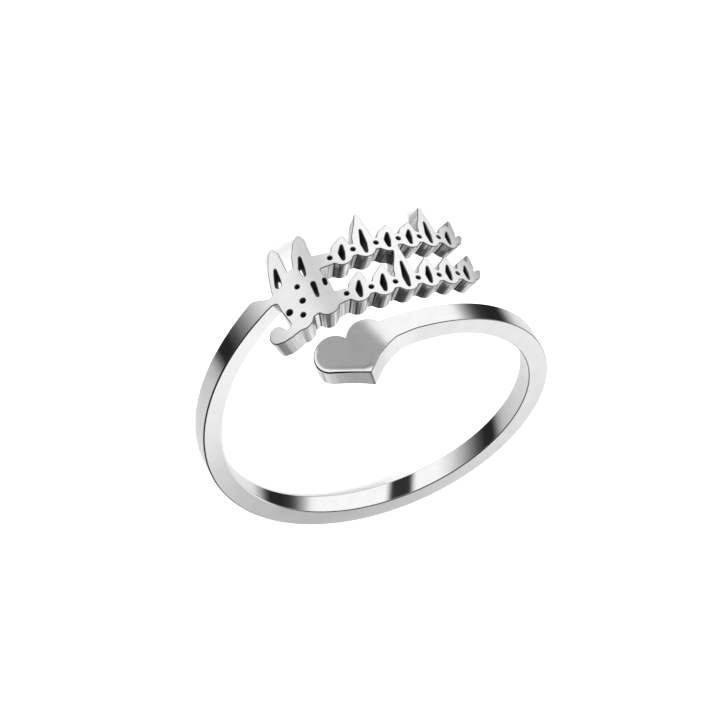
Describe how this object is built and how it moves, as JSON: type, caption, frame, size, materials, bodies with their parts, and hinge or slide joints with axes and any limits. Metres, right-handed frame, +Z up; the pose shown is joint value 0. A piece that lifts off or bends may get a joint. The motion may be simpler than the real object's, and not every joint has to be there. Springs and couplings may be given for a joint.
{
  "type": "name ring",
  "caption": "Open bypass finger ring with a heart at one end and rows of pierced leaves in place of names at the other.",
  "frame": {"origin": "on the surface that the ring lies on, under the middle of its box", "axes": "+Z up from that surface, with the finger opening leaning 17 degrees from it; +Y towards the heart and the leaves; +X towards the heart's arm"},
  "size_m": [0.0196, 0.0206, 0.0101],
  "materials": {
    "polished_silver": "mirror-polished outside and inside, with a finer satin polish on the cut edges"
  },
  "bodies": {
    "root": {"ring": "polished_silver"}
  },
  "joints": []
}
